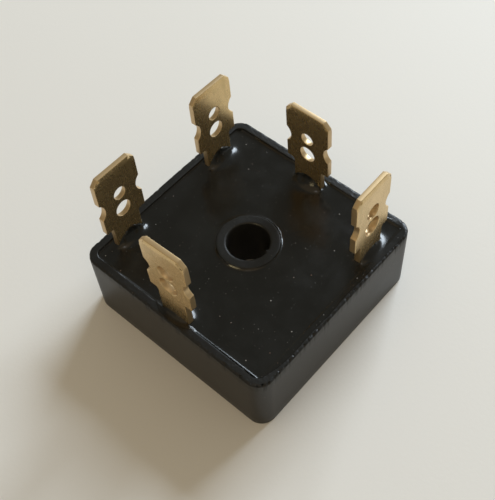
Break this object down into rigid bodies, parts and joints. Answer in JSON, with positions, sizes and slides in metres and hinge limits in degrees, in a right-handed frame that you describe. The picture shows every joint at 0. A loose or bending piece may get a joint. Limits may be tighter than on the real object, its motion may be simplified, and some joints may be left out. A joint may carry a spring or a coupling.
{
  "type": "bridge rectifier",
  "caption": "Square black potted bridge rectifier with a central screw hole, a flat heat-sink base and upright brass push-on blades round the edge.",
  "frame": {"origin": "middle of the case on its seating face, on the axis of the mounting hole", "axes": "+Z points out of the terminal side, towards the blade tips; the wall at -Y is the one nearest the negative blade"},
  "size_m": [0.0286, 0.0286, 0.0231],
  "materials": {
    "case_plastic": "moulded, satin",
    "epoxy": "poured, glossy",
    "blade_brass": "stamped, lightly tarnished",
    "plate_metal": "rolled, satin",
    "ceramic": "fired ceramic, white",
    "copper": "bonded copper",
    "silicon": "metallised silicon",
    "solder": "solder"
  },
  "bodies": {
    "root": {"case_frame": "case_plastic", "base_plate": "plate_metal", "base_solder": "solder", "ceramic_insulator": "ceramic", "positive_bus": "copper", "negative_bus": "copper", "diode_a_positive": "silicon", "diode_b_positive": "silicon", "diode_c_positive": "silicon", "diode_a_negative": "silicon", "diode_b_negative": "silicon", "diode_c_negative": "silicon", "die_solder_lower": "solder", "die_solder_upper": "solder", "foot_solder": "solder", "terminal_positive": "blade_brass", "terminal_negative": "blade_brass", "terminal_ac_a": "blade_brass", "terminal_ac_b": "blade_brass", "terminal_ac_c": "blade_brass", "potting_epoxy": "epoxy"}
  },
  "joints": []
}
